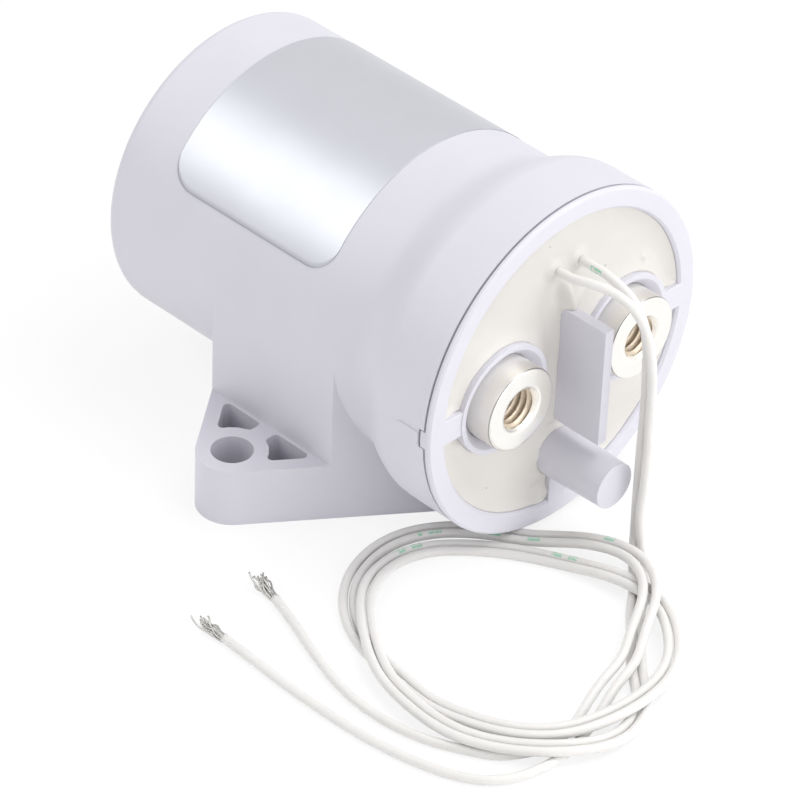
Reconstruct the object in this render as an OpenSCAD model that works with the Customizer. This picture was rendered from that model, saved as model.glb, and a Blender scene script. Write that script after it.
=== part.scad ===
// Sealed direct-current contactor in a moulded housing with a two-ear mounting base.
// Millimetres. The origin is on the base plane, midway between the two mounting holes.
// X runs across the ears, Y from the terminals to the closed end, Z up.

/* [Housing] */
// Outer radius of the round can
can_r = 21.6; // [20.8:0.1:22.4]
// Outer radius of the flange at the open mouth
flange_r = 24.5; // [24.2:0.1:24.8]
// Height of the can's axis above the mounting plane
axis_h = 24.9; // [24.8:0.1:28]
// Length of the housing from its mouth to the closed end
body_len = 61; // [59.4:0.2:66]
// Distance from the mouth back to the line of the mounting holes
mouth_to_holes = 29.6; // [29:0.1:31]
// Length of the straight flange behind the mouth
flange_len = 7.4; // [6.5:0.1:8.5]
// Length of the soft step from the flange down to the can
flare_len = 7.8; // [6:0.1:9]
// Wall of the can
wall = 2; // [1.6:0.1:2.3]
// Wall of the flange around the front cover
mouth_wall = 1.6; // [1.2:0.1:2]
// Thickness of the closed end
rear_wall = 2.2; // [1.6:0.1:2.6]
// Radius on the edge of the closed end
rear_round = 1.4; // [0.8:0.1:2.6]

/* [Mounting base] */
// Spacing of the two mounting holes
hole_spacing = 57; // [56:0.5:60]
// Diameter of the mounting holes
hole_d = 5.6; // [4.5:0.1:6]
// Radius of the ear around its hole
ear_r = 4.75; // [4.4:0.05:5.2]
// Height of the ears
ear_h = 8.6; // [6:0.1:11]
// Angle of the base walls from the X axis
wall_angle = 36.6; // [35.6:0.2:37.6]
// Wall left outside the pockets in the ears
pocket_rim = 2; // [1.6:0.1:2.4]
// Floor left under the pockets in the ears
pocket_floor = 1.6; // [1:0.1:3]
// Width of the rib between the two pockets of an ear
pocket_rib = 2.8; // [2:0.1:3.6]
// Radius in the corners of the pockets
pocket_round = 0.7; // [0.4:0.1:0.9]

/* [Front cover] */
// Thickness of the cover's rim in front of the seam
rim_t = 0.7; // [0.5:0.05:1.2]
// Width of the rim around the potting
rim_w = 3; // [2.6:0.1:3.4]
// Open line between the rim and the housing
seam_gap = 0.3; // [0.2:0.05:0.5]
// Depth of the cover's floor behind the mouth
floor_depth = 2.2; // [1.5:0.1:3]
// Thickness of the cover's floor
floor_t = 2; // [1.5:0.1:3]
// Depth of the potting below the face of the rim
pot_depth = 1.4; // [1:0.05:1.6]
// Radius of the collars around the terminals
collar_r = 7.7; // [7:0.1:8.2]
// Height of the collars above the face of the rim
collar_rise = 0.2; // [0:0.05:0.6]
// Width of the flat lip around the collars
collar_lip = 0.7; // [0.5:0.1:1.2]
// Depth of the dish between a collar's lip and its terminal
collar_dish = 1.3; // [0.5:0.1:1.6]
// Width of the webs between the collars and the rim
web_w = 3.6; // [3:0.1:5]
// Thickness of the barrier between the terminals
barrier_t = 1.5; // [1.2:0.1:2]
// Height of the barrier
barrier_h = 17.6; // [14:0.1:19]
// Reach of the barrier in front of the mouth
barrier_reach = 8.1; // [7:0.1:10]
// Diameter of the round post at its tip
post_d = 6.4; // [5.5:0.1:7]
// Reach of the post in front of the mouth
post_reach = 10.7; // [9:0.1:13]
// Distance of the post below the can's axis
post_drop = 14.2; // [13.6:0.1:15]
// Width of the web between the post and the rim
post_web_w = 2.8; // [2:0.1:3.6]
// Width of the two keys that locate the cover
key_w = 2.5; // [2:0.1:3.5]
// Length of the keys behind the rim
key_len = 0.8; // [0.6:0.05:1.4]

/* [Terminals] */
// Spacing of the two terminals
terminal_spacing = 22.2; // [21.4:0.1:22.8]
// Diameter of the terminals
terminal_d = 11.6; // [11:0.1:12]
// Reach of the terminals in front of the mouth
terminal_reach = 4.05; // [3:0.05:5]
// Bore of the threaded holes, at the crest of the thread
thread_bore = 5; // [4.2:0.1:5.2]
// Depth of the threaded holes
thread_depth = 9; // [7:0.5:10]
// Diameter of the countersink at the mouth of the threaded holes
sink_d = 6.4; // [6:0.1:7]
// Diameter of the contact stems behind the terminals
stem_d = 8; // [7:0.1:8.4]

/* [Contacts] */
// Depth of the fixed contact faces behind the cover's floor
contact_depth = 9.8; // [9:0.1:11]
// Open gap between the fixed and the moving contacts
contact_gap = 1.55; // [1.4:0.05:1.9]
// Thickness of every contact tip
tip_t = 0.8; // [0.6:0.05:1.2]
// Diameter of every contact tip
tip_d = 6.4; // [5:0.1:6.6]
// Thickness of the moving bridge
bridge_t = 2.2; // [1.8:0.1:2.6]
// Width of the moving bridge
bridge_w = 7; // [6.8:0.1:9]
// Length of the contact spring as fitted
contact_spring_len = 6; // [5:0.1:6.4]
// Wall of the arc chamber
chamber_wall = 1.5; // [1.2:0.1:2]
// Half height inside the arc chamber
chamber_half = 8; // [7:0.1:8.2]
// Thickness of the blow-out magnets
magnet_t = 2.5; // [1.8:0.1:2.6]
// Width of the blow-out magnets
magnet_w = 14; // [10:0.5:16]
// Length of the blow-out magnets
magnet_len = 10; // [8:0.5:12]

/* [Magnet drive] */
// Travel of the plunger
travel = 2; // [1.6:0.05:2.2]
// Radius of the pull shaft
shaft_r = 1.5; // [1.2:0.05:1.8]
// Thickness of the front yoke plate
plate_t = 2.5; // [2:0.1:3]
// Radius of the plunger
plunger_r = 6.2; // [5.6:0.05:6.4]
// Length of the plunger
plunger_len = 15; // [13:0.1:15.4]
// Length of the bobbin
bobbin_len = 24; // [22:0.1:24.4]
// Wall of the bobbin
bobbin_wall = 1.1; // [0.8:0.05:1.4]
// Wall of the yoke can
yoke_wall = 1.6; // [1.2:0.1:2]
// Space between the winding and the yoke can
winding_gap = 2.15; // [1.6:0.05:3]

/* [Label] */
// Angle that the foil label covers around the can
label_angle = 125; // [100:1:140]
// Length of the foil label along the can
label_len = 29; // [24:0.5:32]
// Distance from the mouth to the label
label_start = 22.6; // [20:0.1:26]
// Radius of the label's corners
label_round = 4; // [2:0.1:6]

/* [Leads] */
// Diameter of the insulated leads
lead_d = 1.25; // [1:0.05:1.3]
// Length of the bare end of a lead
bare_len = 6.5; // [3:0.5:7]

/* [Hidden] */
$fn = 72;

// Fits: parts that seat in each other, flat faces that meet, and the shaft's running fit
fit = 0.05;
run_fit = 0.06;
drop_in = 0.25;
// The flat side walls stay this much inside the can, so that they run out on it cleanly
run_out = 0.02;
through = 1;

// The open cavity and the mouth
inner_r = can_r - wall;
mouth_r = flange_r - mouth_wall;
cavity_flat = flange_len + flare_len - mouth_wall;

// Places along the axis, as distances behind the mouth
rim_back = -seam_gap;
rim_face = rim_back - rim_t;
pot_face = rim_face + pot_depth;
floor_back = floor_depth + floor_t;
chamber_front = floor_back + fit;
contact_face = floor_back + contact_depth;
bridge_front = contact_face + contact_gap + tip_t;
bridge_back = bridge_front + bridge_t;
seat_front = bridge_back + contact_spring_len;
seat_t = 1;
seat_room = 1.6;
plate_front = seat_front + seat_t + seat_room;
plate_back = plate_front + plate_t;
bobbin_front = plate_back + fit;
bobbin_back = bobbin_front + bobbin_len;
yoke_end_t = 2;
yoke_back = bobbin_back + fit + yoke_end_t;
sleeve_wall = 0.4;
sleeve_back = yoke_back - fit;
plunger_back = sleeve_back - sleeve_wall - 2 * fit;
plunger_front = plunger_back - plunger_len;
stop_clear = 0.05;
core_back = plunger_front - stop_clear - travel;
rear_in = body_len - rear_wall;

// Mounting base
hole_x = hole_spacing / 2;
wall_off = hole_x * sin(wall_angle) + ear_r;
pocket_off = 0.4;
pocket_in = can_r + pocket_off;

// Low ridges along the sides of the flange, measured from the mouth
ridge_w = 1.7;
ridge_rise = 0.2;
ridge_len = 4.6;

// Moving system
clip_t = 0.6;
clip_r = 2.8;
seat_r = 3.6;
shaft_tip = 0.9;
shaft_front = bridge_front - clip_t - shaft_tip;
spring_bore = 3.1;
core_pocket = 4;
plunger_pocket = 3;
spigot_r = 3.6;
terminal_x = terminal_spacing / 2;
sleeve_r = plunger_r + run_fit + sleeve_wall;
bobbin_r = sleeve_r + fit;
yoke_r = inner_r - drop_in;
winding_r = yoke_r - yoke_wall - winding_gap;
cheek_over = 0.8;
bobbin_flange_r = winding_r + cheek_over;
bobbin_cheek = 1.4;
chamber_play = 1;
chamber_r = inner_r - chamber_play;
chamber_top = chamber_half + chamber_wall;

// Springs
contact_wire = 0.6;
contact_coil_r = 2.5;
contact_turns = 3.5;
return_wire = 0.5;
return_coil_r = 2.45;
return_turns = 6;
rings_per_turn = 14;
wire_sides = 6;

// Lead exits: sideways from the axis and up from it, on the face of the potting
lead_r = lead_d / 2;
lead_exits = [[-1.5, 14.6], [2.8, 14.2]];
lead_sides = 8;

// Routes of the free leads, from the potting to the loose coil and from it to the bare ends
drop_a = [
  [-1.5, -29.2, 39.5], [-1.5, -31.8, 39.6], [-0.7, -34.1, 39.6], [0.3, -36.2, 39.3], [1, -38.1, 38.7],
  [1.5, -39.5, 37.8], [1.9, -40.8, 36.4], [2.2, -41.7, 34.6], [2.5, -42.4, 31.7], [2.7, -42.8, 28],
  [2.8, -42.9, 23], [2.8, -43, 17], [2.8, -42.9, 11], [2.6, -42.8, 6], [2.3, -43.6, 2.7], [1.4, -45.1, 1.1],
  [-0.7, -47.3, 0.65], [-3.2, -49.7, 0.65], [-5.6, -51.6, 0.65]
];
drop_b = [
  [2.8, -29.2, 39.1], [2.8, -31.8, 39.2], [2.9, -34.1, 39], [3, -36, 38.5], [3.1, -37.8, 37.7],
  [3.3, -39.1, 36.3], [3.4, -40.2, 34.4], [3.4, -40.9, 31.8], [3.3, -41.3, 28.5], [3.3, -41.5, 23],
  [3.2, -41.5, 17], [3.2, -41.5, 11], [3.2, -41.5, 6], [2.8, -41.9, 2.7], [1.4, -43.1, 1.1],
  [-1.2, -45.5, 0.65], [-4.4, -48.4, 0.65]
];
tail_z = 0.65;
tail_a = [
  [-33, -63.5, tail_z], [-36.8, -63.4, tail_z], [-40.4, -62.4, tail_z], [-43.4, -60.4, tail_z],
  [-45.6, -57.2, tail_z], [-47, -53.4, tail_z], [-48, -49.2, tail_z], [-48.6, -45, tail_z],
  [-48.9, -40.8, tail_z], [-49, -36.6, tail_z], [-49, -32.4, tail_z], [-48.8, -28.2, tail_z],
  [-48.6, -24, tail_z], [-48.4, -19.6, tail_z]
];
tail_b = [
  [-39, -58.4, tail_z], [-41.2, -55.2, tail_z], [-43, -51.6, tail_z], [-44.2, -47.8, tail_z],
  [-44.8, -43.8, tail_z], [-44.8, -39.8, tail_z], [-44.2, -35.8, tail_z], [-43.1, -31.8, tail_z],
  [-41.7, -27.8, tail_z], [-40.2, -23.8, tail_z], [-38.4, -18.4, tail_z]
];
coil_at = [-23.4, -45.6];
coil_mid_r = 18.4;
coil_half_w = 2.6;
coil_half_h = 1.2;
coil_sides = 16;
strand_r = 0.18;
strand_ring = 0.25;
strand_spread = 2;
strand_count = 6;

// Colours
shell_grey = [0.8, 0.8, 0.83];
resin_white = [0.9, 0.89, 0.86];
silver = [0.88, 0.87, 0.84];
steel = [0.6, 0.61, 0.63];
copper = [0.8, 0.5, 0.3];
lead_white = [0.92, 0.91, 0.89];

// Puts children with their own Z along the can's axis, at a distance behind the mouth
module on_axis(back = 0) {
  translate([0, back - mouth_to_holes, axis_h])
    rotate([-90, 0, 0])
      children();
}

// Repeats children at the two terminal places
module at_side(side) {
  translate([side * terminal_x, 0, 0])
    children();
}

// A ring or disc between two places on the axis
module tube(from, to, r, bore = 0) {
  difference() {
    translate([0, 0, from])
      cylinder(h = to - from, r = r);
    if (bore > 0)
      translate([0, 0, from - through])
        cylinder(h = to - from + 2 * through, r = bore);
  }
}

function unit(v) = v / norm(v);
function along(path, i) = unit(path[min(i + 1, len(path) - 1)] - path[max(i - 1, 0)]);
function ring(at, dir, up, r, n) =
  let (side = unit(cross(dir, up)), top = cross(side, dir))
  [for (k = [0 : n - 1]) at + r * (cos(360 * k / n) * side + sin(360 * k / n) * top)];

// A round section carried along a path; up is a direction that the path never takes
module sweep(path, r, up, n) {
  last = len(path) - 1;
  points = [for (i = [0 : last]) each ring(path[i], along(path, i), up, r, n)];
  sides = [
    for (i = [0 : last - 1], k = [0 : n - 1])
      let (a = i * n + k, b = i * n + (k + 1) % n)
      each [[a, b, b + n], [a, b + n, a + n]]
  ];
  start = [[for (k = [n - 1 : -1 : 0]) k]];
  end = [[for (k = [0 : n - 1]) last * n + k]];
  polyhedron(points, concat(sides, start, end));
}

// A round-wire compression spring between two places on the axis
module coil_spring(from, to, coil_r, wire, turns) {
  steps = turns * rings_per_turn;
  low = from + wire / 2 + fit;
  rise = to - from - wire - 2 * fit;
  path = [
    for (i = [0 : steps])
      let (a = 360 * i / rings_per_turn)
      [coil_r * cos(a), coil_r * sin(a), low + rise * i / steps]
  ];
  sweep(path, wire / 2, [0, 0, 1], wire_sides);
}

// Half section of the outside: mouth, flange, soft step, can and rounded closed end
flare_steps = 10;
round_steps = 6;
outer_section = concat(
  [[0, 0], [flange_r, 0]],
  [
    for (i = [0 : flare_steps])
      let (t = i / flare_steps)
      [can_r + (flange_r - can_r) * (1 + cos(180 * t)) / 2, flange_len + flare_len * t]
  ],
  [
    for (i = [0 : round_steps])
      let (a = 90 * i / round_steps)
      [can_r - rear_round * (1 - cos(a)), body_len - rear_round * (1 - sin(a))]
  ],
  [[0, body_len]]
);

// Half section of the inside, with the ledge that the yoke can stands on
cavity_section = [
  [0, -through], [mouth_r, -through], [mouth_r, flange_len], [inner_r, cavity_flat],
  [inner_r, yoke_back + fit], [yoke_r - yoke_wall - fit, yoke_back + fit],
  [yoke_r - yoke_wall - fit, rear_in], [0, rear_in]
];

// Plan of the base: a rhombus whose walls are tangent to the two ears
module base_rhombus(inset = 0) {
  reach = wall_off - inset;
  polygon([
    [-reach / sin(wall_angle), 0], [0, -reach / cos(wall_angle)],
    [reach / sin(wall_angle), 0], [0, reach / cos(wall_angle)]
  ]);
}

// One ear in plan: the end of the rhombus, rounded about the hole
module base_plan() {
  tip_x = hole_x + ear_r * sin(wall_angle);
  intersection() {
    base_rhombus();
    square([2 * tip_x, 2 * wall_off / cos(wall_angle)], center = true);
  }
  for (side = [-1, 1])
    translate([side * hole_x, 0])
      circle(r = ear_r);
}

// The two pockets of one ear in plan, between the boss, the rim and the can
module ear_pockets() {
  $fn = 20;
  offset(r = pocket_round)
    offset(delta = -pocket_round)
      difference() {
        intersection() {
          base_rhombus(pocket_rim);
          translate([pocket_in, -wall_off])
            square([wall_off, 2 * wall_off]);
        }
        translate([hole_x, 0])
          circle(r = ear_r);
        translate([0, -pocket_rib / 2])
          square([2 * wall_off, pocket_rib]);
      }
}

module housing_outside() {
  on_axis() {
    rotate_extrude()
      polygon(outer_section);
    key_ridges();
  }
  linear_extrude(ear_h)
    base_plan();
  intersection() {
    linear_extrude(axis_h)
      base_rhombus();
    translate([-(can_r - run_out), -wall_off * 2, 0])
      cube([2 * (can_r - run_out), wall_off * 4, axis_h]);
  }
}

// A low ridge with a round end along each side of the flange, in line with the keys of the cover
module key_ridges() {
  straight = ridge_len - ridge_w / 2;
  for (side = [-1, 1])
    translate([side * flange_r, 0, 0]) {
      translate([0, 0, (key_len + straight) / 2])
        cube([2 * ridge_rise, ridge_w, straight - key_len], center = true);
      translate([0, 0, straight])
        rotate([0, 90, 0])
          cylinder(h = 2 * ridge_rise, d = ridge_w, center = true, $fn = 24);
    }
}

// Slots in the mouth for the keys of the cover
module key_slots() {
  for (side = [-1, 1])
    translate([side * flange_r, 0, 0])
      cube([4 * mouth_wall, key_w + seam_gap, 2 * key_len], center = true);
}

module housing() {
  color(shell_grey)
    difference() {
      housing_outside();
      on_axis()
        rotate_extrude()
          polygon(cavity_section);
      for (side = [-1, 1]) {
        translate([side * hole_x, 0, -through])
          cylinder(h = ear_h + 2 * through, d = hole_d);
        translate([0, 0, pocket_floor])
          linear_extrude(ear_h)
            mirror([side < 0 ? 1 : 0, 0])
              ear_pockets();
      }
      on_axis()
        key_slots();
    }
}

rim_in = flange_r - rim_w;
rim_edge = 0.35;
skirt_r = mouth_r - fit;
cover_section = [
  [0, floor_depth], [rim_in, floor_depth], [rim_in, rim_face + rim_edge],
  [rim_in + rim_edge, rim_face], [flange_r - rim_edge, rim_face],
  [flange_r, rim_face + rim_edge], [flange_r, rim_back], [skirt_r, rim_back],
  [skirt_r, floor_back], [0, floor_back]
];
post_draft = 0.3;

// Collars, webs, barrier and post: what stands up through the potting; grow widens it for a cut
module cover_relief(grow = 0) {
  for (side = [-1, 1])
    at_side(side) {
      tube(rim_face - collar_rise, floor_depth, collar_r + grow);
      translate([side * collar_r / 2, -web_w / 2 - grow, rim_face])
        translate([side > 0 ? 0 : -(rim_in - terminal_x), 0, 0])
          cube([rim_in - terminal_x, web_w + 2 * grow, floor_depth - rim_face]);
    }
  translate([-barrier_t / 2 - grow, -barrier_h / 2 - grow, -barrier_reach])
    cube([barrier_t + 2 * grow, barrier_h + 2 * grow, barrier_reach + floor_depth]);
  translate([0, post_drop, -post_reach])
    cylinder(h = post_reach + floor_depth, r1 = post_d / 2 + grow, r2 = post_d / 2 + post_draft + grow);
  translate([-post_web_w / 2 - grow, post_drop, rim_face])
    cube([post_web_w + 2 * grow, rim_in + rim_edge - post_drop, floor_depth - rim_face]);
}

// The dished face of a collar, from its lip down to the terminal, as a cut
module collar_face() {
  top = rim_face - collar_rise;
  lip_in = collar_r - collar_lip;
  rotate_extrude()
    polygon([
      [0, top - through], [lip_in, top - through], [lip_in, top],
      [terminal_d / 2, top + collar_dish], [0, top + collar_dish]
    ]);
}

// The leads as straight runs, from one place on the axis to another
module lead_runs(from, to, r) {
  for (exit = lead_exits)
    translate([exit[0], -exit[1], 0])
      tube(from, to, r);
}

module front_cover() {
  color(shell_grey)
    on_axis()
      difference() {
        union() {
          rotate_extrude()
            polygon(cover_section);
          intersection() {
            cover_relief();
            translate([0, 0, -post_reach])
              cylinder(h = post_reach + floor_back, r = skirt_r);
          }
          intersection() {
            tube(rim_face + rim_edge, key_len - seam_gap, flange_r, skirt_r - rim_w / 2);
            translate([-2 * flange_r, -key_w / 2, -flange_r])
              cube([4 * flange_r, key_w, 2 * flange_r]);
          }
        }
        for (side = [-1, 1])
          at_side(side) {
            tube(-terminal_reach, floor_back + through, terminal_d / 2 + fit);
            collar_face();
          }
        lead_runs(0, floor_back + through, lead_r + fit);
      }
}

module potting() {
  color(resin_white)
    on_axis()
      difference() {
        tube(pot_face, floor_depth - fit, rim_in - fit);
        cover_relief(fit);
        lead_runs(pot_face - through, floor_back, lead_r + fit);
      }
}

// A turned terminal with its threaded hole and the stem of its fixed contact
module terminal(side) {
  r = terminal_d / 2;
  edge = 0.3;
  bore = thread_bore / 2;
  sink = sink_d / 2;
  face = -terminal_reach;
  hole_end = face + thread_depth;
  color(silver)
    on_axis()
      at_side(side)
        rotate_extrude()
          polygon([
            [sink, face], [r - edge, face], [r, face + edge], [r, floor_back],
            [stem_d / 2, floor_back], [stem_d / 2, contact_face - tip_t - fit],
            [0, contact_face - tip_t - fit], [0, hole_end + bore / 2], [bore, hole_end],
            [bore, face + sink - bore]
          ]);
}

module terminal_left() { terminal(-1); }
module terminal_right() { terminal(1); }

module fixed_tip(side) {
  color(silver)
    on_axis()
      at_side(side)
        tube(contact_face - tip_t, contact_face, tip_d / 2);
}

module fixed_tip_left() { fixed_tip(-1); }
module fixed_tip_right() { fixed_tip(1); }

// A round body with a flat top and bottom
module flatted(r, half, from, to) {
  intersection() {
    tube(from, to, r);
    translate([-2 * r, -half, from - through])
      cube([4 * r, 2 * half, to - from + 2 * through]);
  }
}

module arc_chamber() {
  back = plate_front - fit;
  color([0.75, 0.72, 0.66])
    on_axis()
      difference() {
        flatted(chamber_r, chamber_top, chamber_front, back);
        flatted(chamber_r - chamber_wall, chamber_half, chamber_front + chamber_wall, back + through);
        for (side = [-1, 1])
          at_side(side)
            tube(floor_back, contact_face, stem_d / 2 + fit);
      }
}

// A block magnet on one flat of the arc chamber, level with the contact gap
module magnet(side) {
  low = chamber_top + fit;
  color([0.3, 0.3, 0.32])
    on_axis(contact_face - magnet_len / 2)
      translate([-magnet_w / 2, side > 0 ? -low - magnet_t : low, 0])
        cube([magnet_w, magnet_t, magnet_len]);
}

module magnet_upper() { magnet(1); }
module magnet_lower() { magnet(-1); }

module contact_bridge() {
  color(copper)
    on_axis()
      difference() {
        union() {
          translate([-terminal_x, -bridge_w / 2, bridge_front])
            cube([terminal_spacing, bridge_w, bridge_t]);
          for (side = [-1, 1])
            at_side(side)
              tube(bridge_front, bridge_back, bridge_w / 2);
        }
        tube(bridge_front - through, bridge_back + through, shaft_r + run_fit);
      }
}

module bridge_tips() {
  color(silver)
    on_axis()
      for (side = [-1, 1])
        at_side(side)
          tube(bridge_front - tip_t, bridge_front, tip_d / 2);
}

module contact_spring() {
  color(steel)
    on_axis()
      coil_spring(bridge_back, seat_front, contact_coil_r, contact_wire, contact_turns);
}

module spring_seat() {
  color(steel)
    on_axis()
      tube(seat_front, seat_front + seat_t, seat_r, shaft_r + fit);
}

module bridge_clip() {
  color(steel)
    on_axis()
      tube(bridge_front - fit - clip_t, bridge_front - fit, clip_r, shaft_r + fit);
}

module pull_shaft() {
  color(steel)
    on_axis()
      tube(shaft_front, plunger_back, shaft_r);
}

module plunger() {
  color(steel)
    on_axis()
      difference() {
        tube(plunger_front, plunger_back, plunger_r, shaft_r + fit);
        tube(plunger_front - through, plunger_front + plunger_pocket, spring_bore);
      }
}

module return_spring() {
  color(steel)
    on_axis()
      coil_spring(core_back - core_pocket, plunger_front + plunger_pocket, return_coil_r, return_wire,
        return_turns);
}

module fixed_core() {
  color(steel)
    on_axis()
      difference() {
        union() {
          tube(plate_front, plate_back + through, spigot_r);
          tube(plate_back + fit, core_back, plunger_r);
        }
        tube(plate_front - through, core_back + through, shaft_r + run_fit);
        tube(core_back - core_pocket, core_back + through, spring_bore);
      }
}

module plunger_sleeve() {
  color(steel)
    on_axis()
      difference() {
        tube(plate_back + fit, sleeve_back, sleeve_r);
        tube(plate_back, sleeve_back - sleeve_wall, sleeve_r - sleeve_wall);
      }
}

module bobbin() {
  color([0.2, 0.2, 0.22])
    on_axis()
      difference() {
        union() {
          tube(bobbin_front, bobbin_back, bobbin_r + bobbin_wall);
          tube(bobbin_front, bobbin_front + bobbin_cheek, bobbin_flange_r);
          tube(bobbin_back - bobbin_cheek, bobbin_back, bobbin_flange_r);
        }
        tube(bobbin_front - through, bobbin_back + through, bobbin_r);
      }
}

module coil_winding() {
  color(copper)
    on_axis()
      tube(bobbin_front + bobbin_cheek + fit, bobbin_back - bobbin_cheek - fit, winding_r,
        bobbin_r + bobbin_wall + fit);
}

module yoke_plate() {
  color(steel)
    on_axis()
      difference() {
        tube(plate_front, plate_back, yoke_r, spigot_r + fit);
        lead_runs(plate_front - through, plate_back + through, lead_r + drop_in);
      }
}

module yoke_can() {
  color(steel)
    on_axis()
      difference() {
        tube(plate_back + fit, yoke_back, yoke_r, sleeve_r + fit);
        tube(plate_back, yoke_back - yoke_end_t, yoke_r - yoke_wall);
      }
}

// The leads from the face of the potting to the front cheek of the bobbin
module inner_leads() {
  color(lead_white)
    on_axis()
      lead_runs(pot_face, bobbin_front - fit, lead_r);
}

// Outline of the label with rounded corners, seen from above: lengths around the can become widths
label_in = can_r + run_out;
label_foil = 0.1;
label_steps = 6;
label_side = label_angle / 2 * PI / 180 * label_in - label_round;
label_outline = [
  for (corner = [0 : 3], i = [0 : label_steps])
    let (
      a = 90 * (corner + i / label_steps),
      around = (corner == 0 || corner == 3 ? 1 : -1) * label_side + label_round * cos(a),
      back = (corner < 2 ? label_len - label_round : label_round) + label_round * sin(a)
    )
    [label_in * sin(around / label_in * 180 / PI), back]
];

// A foil label around the top of the can
module label() {
  color([0.83, 0.83, 0.85])
    on_axis(label_start)
      intersection() {
        tube(-through, label_len + through, label_in + label_foil, label_in);
        rotate([90, 0, 0])
          linear_extrude(2 * can_r)
            polygon(label_outline);
      }
}

module lead_drop_a() { color(lead_white) sweep(drop_a, lead_r, [1, 0, 0], lead_sides); }
module lead_drop_b() { color(lead_white) sweep(drop_b, lead_r, [1, 0, 0], lead_sides); }
module lead_tail_a() { color(lead_white) sweep(tail_a, lead_r, [0, 0, 1], lead_sides); }
module lead_tail_b() { color(lead_white) sweep(tail_b, lead_r, [0, 0, 1], lead_sides); }

// The outer shape of the loose turns of both leads
module lead_coil() {
  section = [
    for (k = [0 : coil_sides - 1])
      let (a = 360 * (k + 0.5) / coil_sides)
      [coil_mid_r + coil_half_w * cos(a), coil_half_h * (1 + sin(a))]
  ];
  color(lead_white)
    translate([coil_at[0], coil_at[1], 0])
      rotate_extrude()
        polygon(section);
}

// The bare strands at the end of a lead: a short core and a ring of splayed wires
module strands(route) {
  last = len(route) - 1;
  dir = along(route, last);
  core_len = bare_len / 3;
  color([0.62, 0.61, 0.6])
    translate(route[last])
      rotate([0, 90, atan2(dir[1], dir[0])]) {
        cylinder(h = core_len, r = strand_ring + strand_r);
        for (k = [0 : strand_count - 1])
          rotate([0, 0, 360 * (k + 0.5) / strand_count])
            translate([strand_ring, 0, 0])
              rotate([0, strand_spread, 0])
                translate([0, 0, core_len / 2])
                  cylinder(h = bare_len - core_len / 2, r = strand_r);
      }
}

module lead_strands_a() { strands(tail_a); }
module lead_strands_b() { strands(tail_b); }

housing();
front_cover();
potting();
terminal_left();
terminal_right();
fixed_tip_left();
fixed_tip_right();
arc_chamber();
magnet_upper();
magnet_lower();
contact_bridge();
bridge_tips();
contact_spring();
spring_seat();
bridge_clip();
pull_shaft();
plunger();
return_spring();
fixed_core();
plunger_sleeve();
bobbin();
coil_winding();
yoke_plate();
yoke_can();
inner_leads();
label();
lead_drop_a();
lead_drop_b();
lead_coil();
lead_tail_a();
lead_tail_b();
lead_strands_a();
lead_strands_b();
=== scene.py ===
"""Looks of a sealed high voltage DC contactor: moulded shell, potted cover, plated terminals and loose leads."""
import math

import bmesh
import bpy
import numpy as np
from mathutils import Matrix, Vector


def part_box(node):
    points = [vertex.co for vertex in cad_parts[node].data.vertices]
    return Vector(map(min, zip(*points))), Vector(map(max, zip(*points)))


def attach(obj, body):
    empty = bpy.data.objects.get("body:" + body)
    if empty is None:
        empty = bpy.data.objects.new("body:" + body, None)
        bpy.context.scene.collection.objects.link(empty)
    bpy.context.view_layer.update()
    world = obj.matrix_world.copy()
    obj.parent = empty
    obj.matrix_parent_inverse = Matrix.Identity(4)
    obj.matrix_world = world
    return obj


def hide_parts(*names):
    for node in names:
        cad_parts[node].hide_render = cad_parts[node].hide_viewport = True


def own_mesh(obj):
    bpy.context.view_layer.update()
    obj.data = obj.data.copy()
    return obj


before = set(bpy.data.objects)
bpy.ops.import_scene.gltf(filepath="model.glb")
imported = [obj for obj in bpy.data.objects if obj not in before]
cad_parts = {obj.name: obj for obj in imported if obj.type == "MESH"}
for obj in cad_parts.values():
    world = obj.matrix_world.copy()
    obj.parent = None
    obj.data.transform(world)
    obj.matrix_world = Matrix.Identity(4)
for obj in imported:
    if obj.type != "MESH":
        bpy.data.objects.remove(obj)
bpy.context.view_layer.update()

bl_info = {
    "name": "Contactor looks",
    "version": (1, 0, 0),
    "blender": (4, 5, 0),
    "location": "3D view > sidebar > Contactor",
    "description": "Dresses the packed contactor with its surfaces, leads, light and camera",
    "category": "Object",
}

MM = 0.001

# The face of the part: places across and up from the can's axis, and planes along it.
CAN_AXIS = 24.9 * MM
CAN_RADIUS = 21.6 * MM
RESIN_FACE = -29.2 * MM
RESIN_BACK = -27.5 * MM
RIM_INSIDE = 21.5 * MM
TERMINAL_X = 11.1 * MM
COLLAR_RADIUS = 7.7 * MM
WEB_HALF = 1.8 * MM
BARRIER_HALF = (0.75 * MM, 8.8 * MM)
POST_DROP = 14.2 * MM
POST_RADIUS = 3.45 * MM
POST_WEB_HALF = 1.4 * MM
LABEL_LIFT = 0.02 * MM

# How near points are joined, what counts as flat in a copied mesh, and the angles above which edges stay sharp.
SEAM_JOIN = 0.0005 * MM
COPY_JOIN = 0.001 * MM
FLAT_ANGLE = math.radians(0.5)
SHELL_SHARP = math.radians(28)
RESIN_SHARP = math.radians(60)
TERMINAL_SHARP = math.radians(38)
SPRING_SHARP = math.radians(50)

# Mounds and one pit in the resin, in millimetres: place across and up from the axis, half width across and up, and
# share of the mounds' height. Most stand at the two leads, the barrier's upper end and the foot of the post.
RESIN_MOUNDS = (
    (-1.5, 14.6, 1.4, 1.4, 1.0), (2.8, 14.2, 1.3, 1.3, 0.9), (0.1, 10.2, 0.95, 2.2, 3.0), (2.3, 8.4, 1.5, 1.5, 0.6),
    (-2.6, -20.2, 1.3, 1.2, 0.8), (15.2, 8.6, 0.5, 0.5, 0.5), (-18.2, -3.2, 0.9, 0.8, -0.9),
)
MOUND_POWER = 1.5

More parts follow.
